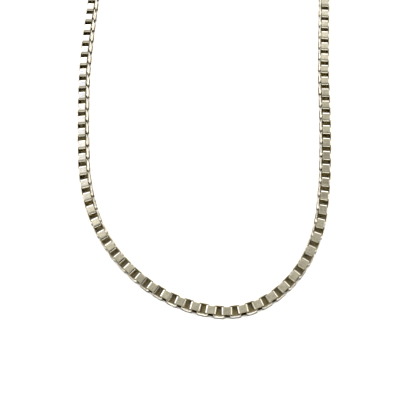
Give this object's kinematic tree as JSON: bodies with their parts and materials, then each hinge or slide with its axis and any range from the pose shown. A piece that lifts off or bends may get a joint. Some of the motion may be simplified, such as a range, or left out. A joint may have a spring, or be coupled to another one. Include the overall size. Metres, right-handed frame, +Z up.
{
  "type": "box chain necklace",
  "caption": "Closed box chain necklace of square band links laid flat in a long loop, with two jump rings and a barrel clasp behind the neck.",
  "frame": {"origin": "under the middle of the loop, on the surface that the necklace lies on", "axes": "+Y from the front of the neck to the clasp behind it, +X to the right strand, +Z up out of the surface"},
  "size_m": [0.0814, 0.1921, 0.003],
  "materials": {
    "link_silver": "polished silver with a warm cast, dark olive tarnish inside the links",
    "finding_silver": "polished silver with a fine satin of wear"
  },
  "bodies": {
    "root": {"chain_left": "link_silver", "chain_right": "link_silver", "jump_ring_left": "finding_silver", "jump_ring_right": "finding_silver", "clasp": "finding_silver"}
  },
  "joints": []
}
